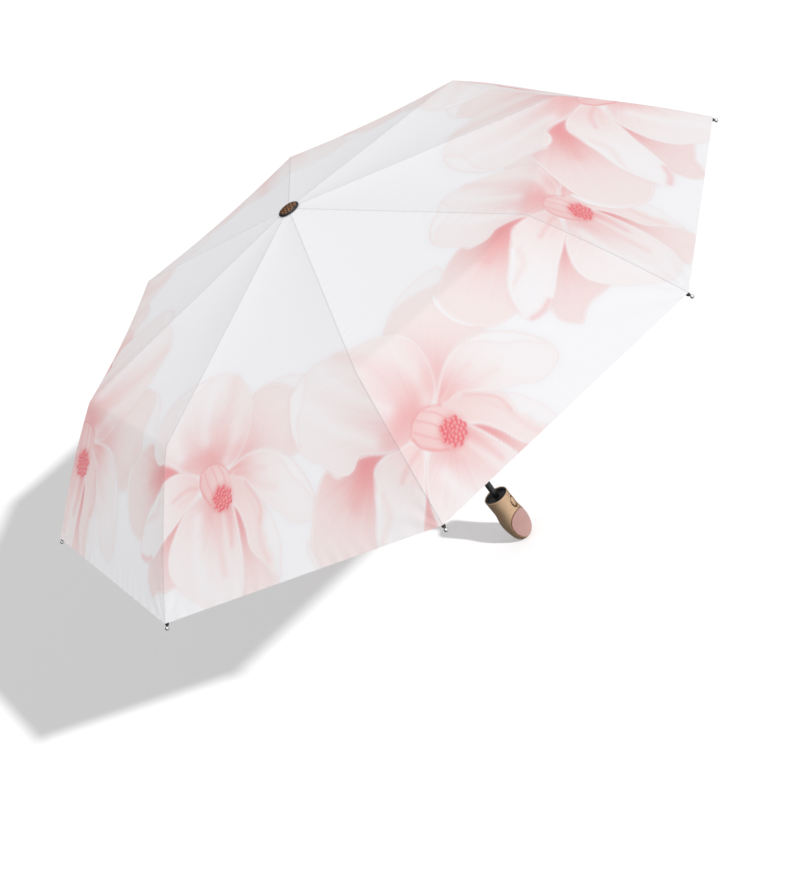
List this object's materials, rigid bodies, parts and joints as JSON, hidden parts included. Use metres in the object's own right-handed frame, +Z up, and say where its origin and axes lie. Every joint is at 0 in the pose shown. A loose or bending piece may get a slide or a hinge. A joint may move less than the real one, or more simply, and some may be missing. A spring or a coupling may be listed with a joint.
{
  "type": "folding umbrella",
  "caption": "Compact folding umbrella, open: shallow faceted canopy on three-fold ribs, telescoping shaft, short rounded handle with a push button.",
  "frame": {"origin": "on the shaft's axis in the middle of the handle, where a hand holds it", "axes": "+Z up the shaft from handle to cap; +X along the first rib; the push button faces 22.5 degrees from +X towards -Y"},
  "size_m": [0.9852, 0.9852, 0.5722],
  "materials": {
    "champagne_body": "satin champagne metallic lacquer",
    "champagne_button": "satin champagne",
    "black_plastic": "moulded black",
    "black_tube": "black painted steel tube",
    "pink_pad": "dusty pink soft-touch",
    "rib_steel": "dark plated steel",
    "tip_metal": "polished",
    "canopy_cloth": "plain woven pongee with a printed ring of pale pink flowers"
  },
  "bodies": {
    "handle": {"handle_shell": "champagne_body", "handle_liner": "black_plastic", "grip_pad": "pink_pad", "shaft_lower_tube": "black_tube"},
    "button": {"push_button": "champagne_button"},
    "middle_tube": {"shaft_middle_tube": "black_tube"},
    "upper_tube": {"shaft_upper_tube": "black_tube", "top_hub": "black_plastic", "top_cap": "black_plastic", "canopy_gore_0": "canopy_cloth", "canopy_gore_1": "canopy_cloth", "canopy_gore_2": "canopy_cloth", "canopy_gore_3": "canopy_cloth", "canopy_gore_4": "canopy_cloth", "canopy_gore_5": "canopy_cloth", "canopy_gore_6": "canopy_cloth", "canopy_gore_7": "canopy_cloth"},
    "runner": {"runner": "black_plastic"},
    "inner_rib_0": {"inner_rib_0": "rib_steel"},
    "middle_rib_0": {"middle_rib_0": "rib_steel"},
    "outer_rib_0": {"outer_rib_0": "rib_steel", "rib_tip_0": "tip_metal"},
    "stretcher_0": {"stretcher_0": "rib_steel"},
    "inner_rib_1": {"inner_rib_1": "rib_steel"},
    "middle_rib_1": {"middle_rib_1": "rib_steel"},
    "outer_rib_1": {"outer_rib_1": "rib_steel", "rib_tip_1": "tip_metal"},
    "stretcher_1": {"stretcher_1": "rib_steel"},
    "inner_rib_2": {"inner_rib_2": "rib_steel"},
    "middle_rib_2": {"middle_rib_2": "rib_steel"},
    "outer_rib_2": {"outer_rib_2": "rib_steel", "rib_tip_2": "tip_metal"},
    "stretcher_2": {"stretcher_2": "rib_steel"},
    "inner_rib_3": {"inner_rib_3": "rib_steel"},
    "middle_rib_3": {"middle_rib_3": "rib_steel"},
    "outer_rib_3": {"outer_rib_3": "rib_steel", "rib_tip_3": "tip_metal"},
    "stretcher_3": {"stretcher_3": "rib_steel"},
    "inner_rib_4": {"inner_rib_4": "rib_steel"},
    "middle_rib_4": {"middle_rib_4": "rib_steel"},
    "outer_rib_4": {"outer_rib_4": "rib_steel", "rib_tip_4": "tip_metal"},
    "stretcher_4": {"stretcher_4": "rib_steel"},
    "inner_rib_5": {"inner_rib_5": "rib_steel"},
    "middle_rib_5": {"middle_rib_5": "rib_steel"},
    "outer_rib_5": {"outer_rib_5": "rib_steel", "rib_tip_5": "tip_metal"},
    "stretcher_5": {"stretcher_5": "rib_steel"},
    "inner_rib_6": {"inner_rib_6": "rib_steel"},
    "middle_rib_6": {"middle_rib_6": "rib_steel"},
    "outer_rib_6": {"outer_rib_6": "rib_steel", "rib_tip_6": "tip_metal"},
    "stretcher_6": {"stretcher_6": "rib_steel"},
    "inner_rib_7": {"inner_rib_7": "rib_steel"},
    "middle_rib_7": {"middle_rib_7": "rib_steel"},
    "outer_rib_7": {"outer_rib_7": "rib_steel", "rib_tip_7": "tip_metal"},
    "stretcher_7": {"stretcher_7": "rib_steel"}
  },
  "joints": [
    {"name": "button_press", "type": "slide", "parent": "handle", "child": "button", "axis": [-0.9239, 0.3827, 0], "range_m": [0, 0.0025], "stiffness_N_per_m": 600, "springref_m": -0.002},
    {"name": "shaft_lower_slide", "type": "slide", "parent": "handle", "child": "middle_tube", "axis": [0, 0, -1], "range_m": [0, 0.137]},
    {"name": "shaft_upper_slide", "type": "slide", "parent": "middle_tube", "child": "upper_tube", "axis": [0, 0, -1], "range_m": [0, 0.137]},
    {"name": "canopy_fold", "type": "slide", "parent": "upper_tube", "child": "runner", "axis": [0, 0, -1], "range_m": [0, 0.1192], "deforming": ["canopy_gore_0", "canopy_gore_1", "canopy_gore_2", "canopy_gore_3", "canopy_gore_4", "canopy_gore_5", "canopy_gore_6", "canopy_gore_7"]},
    {"name": "hub_hinge_0", "type": "hinge", "parent": "upper_tube", "child": "inner_rib_0", "pos_m": [0.01, 0, 0.5248], "axis": [0, 1, 0], "range_deg": [0, 71.8]},
    {"name": "elbow_hinge_0", "type": "hinge", "parent": "inner_rib_0", "child": "middle_rib_0", "pos_m": [0.17419, 0, 0.49423], "axis": [0, 1, 0], "range_deg": [-173, 0]},
    {"name": "knee_hinge_0", "type": "hinge", "parent": "middle_rib_0", "child": "outer_rib_0", "pos_m": [0.33962, 0, 0.4576], "axis": [0, 1, 0], "range_deg": [0, 148.3]},
    {"name": "stretcher_hinge_0", "type": "hinge", "parent": "runner", "child": "stretcher_0", "pos_m": [0.01, 0, 0.46441], "axis": [0, 1, 0], "range_deg": [-56.34, 0]},
    {"name": "hub_hinge_1", "type": "hinge", "parent": "upper_tube", "child": "inner_rib_1", "pos_m": [0.00707, 0.00707, 0.5248], "axis": [-0.7071, 0.7071, 0], "range_deg": [0, 71.8]},
    {"name": "elbow_hinge_1", "type": "hinge", "parent": "inner_rib_1", "child": "middle_rib_1", "pos_m": [0.12317, 0.12317, 0.49423], "axis": [-0.7071, 0.7071, 0], "range_deg": [-173, 0]},
    {"name": "knee_hinge_1", "type": "hinge", "parent": "middle_rib_1", "child": "outer_rib_1", "pos_m": [0.24015, 0.24015, 0.4576], "axis": [-0.7071, 0.7071, 0], "range_deg": [0, 148.3]},
    {"name": "stretcher_hinge_1", "type": "hinge", "parent": "runner", "child": "stretcher_1", "pos_m": [0.00707, 0.00707, 0.46441], "axis": [-0.7071, 0.7071, 0], "range_deg": [-56.34, 0]},
    {"name": "hub_hinge_2", "type": "hinge", "parent": "upper_tube", "child": "inner_rib_2", "pos_m": [0, 0.01, 0.5248], "axis": [-1, 0, 0], "range_deg": [0, 71.8]},
    {"name": "elbow_hinge_2", "type": "hinge", "parent": "inner_rib_2", "child": "middle_rib_2", "pos_m": [0, 0.17419, 0.49423], "axis": [-1, 0, 0], "range_deg": [-173, 0]},
    {"name": "knee_hinge_2", "type": "hinge", "parent": "middle_rib_2", "child": "outer_rib_2", "pos_m": [0, 0.33962, 0.4576], "axis": [-1, 0, 0], "range_deg": [0, 148.3]},
    {"name": "stretcher_hinge_2", "type": "hinge", "parent": "runner", "child": "stretcher_2", "pos_m": [0, 0.01, 0.46441], "axis": [-1, 0, 0], "range_deg": [-56.34, 0]},
    {"name": "hub_hinge_3", "type": "hinge", "parent": "upper_tube", "child": "inner_rib_3", "pos_m": [-0.00707, 0.00707, 0.5248], "axis": [-0.7071, -0.7071, 0], "range_deg": [0, 71.8]},
    {"name": "elbow_hinge_3", "type": "hinge", "parent": "inner_rib_3", "child": "middle_rib_3", "pos_m": [-0.12317, 0.12317, 0.49423], "axis": [-0.7071, -0.7071, 0], "range_deg": [-173, 0]},
    {"name": "knee_hinge_3", "type": "hinge", "parent": "middle_rib_3", "child": "outer_rib_3", "pos_m": [-0.24015, 0.24015, 0.4576], "axis": [-0.7071, -0.7071, 0], "range_deg": [0, 148.3]},
    {"name": "stretcher_hinge_3", "type": "hinge", "parent": "runner", "child": "stretcher_3", "pos_m": [-0.00707, 0.00707, 0.46441], "axis": [-0.7071, -0.7071, 0], "range_deg": [-56.34, 0]},
    {"name": "hub_hinge_4", "type": "hinge", "parent": "upper_tube", "child": "inner_rib_4", "pos_m": [-0.01, 0, 0.5248], "axis": [0, -1, 0], "range_deg": [0, 71.8]},
    {"name": "elbow_hinge_4", "type": "hinge", "parent": "inner_rib_4", "child": "middle_rib_4", "pos_m": [-0.17419, 0, 0.49423], "axis": [0, -1, 0], "range_deg": [-173, 0]},
    {"name": "knee_hinge_4", "type": "hinge", "parent": "middle_rib_4", "child": "outer_rib_4", "pos_m": [-0.33962, 0, 0.4576], "axis": [0, -1, 0], "range_deg": [0, 148.3]},
    {"name": "stretcher_hinge_4", "type": "hinge", "parent": "runner", "child": "stretcher_4", "pos_m": [-0.01, 0, 0.46441], "axis": [0, -1, 0], "range_deg": [-56.34, 0]},
    {"name": "hub_hinge_5", "type": "hinge", "parent": "upper_tube", "child": "inner_rib_5", "pos_m": [-0.00707, -0.00707, 0.5248], "axis": [0.7071, -0.7071, 0], "range_deg": [0, 71.8]},
    {"name": "elbow_hinge_5", "type": "hinge", "parent": "inner_rib_5", "child": "middle_rib_5", "pos_m": [-0.12317, -0.12317, 0.49423], "axis": [0.7071, -0.7071, 0], "range_deg": [-173, 0]},
    {"name": "knee_hinge_5", "type": "hinge", "parent": "middle_rib_5", "child": "outer_rib_5", "pos_m": [-0.24015, -0.24015, 0.4576], "axis": [0.7071, -0.7071, 0], "range_deg": [0, 148.3]},
    {"name": "stretcher_hinge_5", "type": "hinge", "parent": "runner", "child": "stretcher_5", "pos_m": [-0.00707, -0.00707, 0.46441], "axis": [0.7071, -0.7071, 0], "range_deg": [-56.34, 0]},
    {"name": "hub_hinge_6", "type": "hinge", "parent": "upper_tube", "child": "inner_rib_6", "pos_m": [0, -0.01, 0.5248], "axis": [1, 0, 0], "range_deg": [0, 71.8]},
    {"name": "elbow_hinge_6", "type": "hinge", "parent": "inner_rib_6", "child": "middle_rib_6", "pos_m": [0, -0.17419, 0.49423], "axis": [1, 0, 0], "range_deg": [-173, 0]},
    {"name": "knee_hinge_6", "type": "hinge", "parent": "middle_rib_6", "child": "outer_rib_6", "pos_m": [0, -0.33962, 0.4576], "axis": [1, 0, 0], "range_deg": [0, 148.3]},
    {"name": "stretcher_hinge_6", "type": "hinge", "parent": "runner", "child": "stretcher_6", "pos_m": [0, -0.01, 0.46441], "axis": [1, 0, 0], "range_deg": [-56.34, 0]},
    {"name": "hub_hinge_7", "type": "hinge", "parent": "upper_tube", "child": "inner_rib_7", "pos_m": [0.00707, -0.00707, 0.5248], "axis": [0.7071, 0.7071, 0], "range_deg": [0, 71.8]},
    {"name": "elbow_hinge_7", "type": "hinge", "parent": "inner_rib_7", "child": "middle_rib_7", "pos_m": [0.12317, -0.12317, 0.49423], "axis": [0.7071, 0.7071, 0], "range_deg": [-173, 0]},
    {"name": "knee_hinge_7", "type": "hinge", "parent": "middle_rib_7", "child": "outer_rib_7", "pos_m": [0.24015, -0.24015, 0.4576], "axis": [0.7071, 0.7071, 0], "range_deg": [0, 148.3]},
    {"name": "stretcher_hinge_7", "type": "hinge", "parent": "runner", "child": "stretcher_7", "pos_m": [0.00707, -0.00707, 0.46441], "axis": [0.7071, 0.7071, 0], "range_deg": [-56.34, 0]}
  ],
  "couplings": [
    {"joint": "hub_hinge_0", "follows": "canopy_fold", "rad_per_m": 10.44},
    {"joint": "elbow_hinge_0", "follows": "canopy_fold", "rad_per_m": -25.257},
    {"joint": "knee_hinge_0", "follows": "canopy_fold", "rad_per_m": 21.641},
    {"joint": "stretcher_hinge_0", "follows": "canopy_fold", "rad_per_m": -8.1761},
    {"joint": "hub_hinge_1", "follows": "canopy_fold", "rad_per_m": 10.44},
    {"joint": "elbow_hinge_1", "follows": "canopy_fold", "rad_per_m": -25.257},
    {"joint": "knee_hinge_1", "follows": "canopy_fold", "rad_per_m": 21.641},
    {"joint": "stretcher_hinge_1", "follows": "canopy_fold", "rad_per_m": -8.1761},
    {"joint": "hub_hinge_2", "follows": "canopy_fold", "rad_per_m": 10.44},
    {"joint": "elbow_hinge_2", "follows": "canopy_fold", "rad_per_m": -25.257},
    {"joint": "knee_hinge_2", "follows": "canopy_fold", "rad_per_m": 21.641},
    {"joint": "stretcher_hinge_2", "follows": "canopy_fold", "rad_per_m": -8.1761},
    {"joint": "hub_hinge_3", "follows": "canopy_fold", "rad_per_m": 10.44},
    {"joint": "elbow_hinge_3", "follows": "canopy_fold", "rad_per_m": -25.257},
    {"joint": "knee_hinge_3", "follows": "canopy_fold", "rad_per_m": 21.641},
    {"joint": "stretcher_hinge_3", "follows": "canopy_fold", "rad_per_m": -8.1761},
    {"joint": "hub_hinge_4", "follows": "canopy_fold", "rad_per_m": 10.44},
    {"joint": "elbow_hinge_4", "follows": "canopy_fold", "rad_per_m": -25.257},
    {"joint": "knee_hinge_4", "follows": "canopy_fold", "rad_per_m": 21.641},
    {"joint": "stretcher_hinge_4", "follows": "canopy_fold", "rad_per_m": -8.1761},
    {"joint": "hub_hinge_5", "follows": "canopy_fold", "rad_per_m": 10.44},
    {"joint": "elbow_hinge_5", "follows": "canopy_fold", "rad_per_m": -25.257},
    {"joint": "knee_hinge_5", "follows": "canopy_fold", "rad_per_m": 21.641},
    {"joint": "stretcher_hinge_5", "follows": "canopy_fold", "rad_per_m": -8.1761},
    {"joint": "hub_hinge_6", "follows": "canopy_fold", "rad_per_m": 10.44},
    {"joint": "elbow_hinge_6", "follows": "canopy_fold", "rad_per_m": -25.257},
    {"joint": "knee_hinge_6", "follows": "canopy_fold", "rad_per_m": 21.641},
    {"joint": "stretcher_hinge_6", "follows": "canopy_fold", "rad_per_m": -8.1761},
    {"joint": "hub_hinge_7", "follows": "canopy_fold", "rad_per_m": 10.44},
    {"joint": "elbow_hinge_7", "follows": "canopy_fold", "rad_per_m": -25.257},
    {"joint": "knee_hinge_7", "follows": "canopy_fold", "rad_per_m": 21.641},
    {"joint": "stretcher_hinge_7", "follows": "canopy_fold", "rad_per_m": -8.1761}
  ]
}
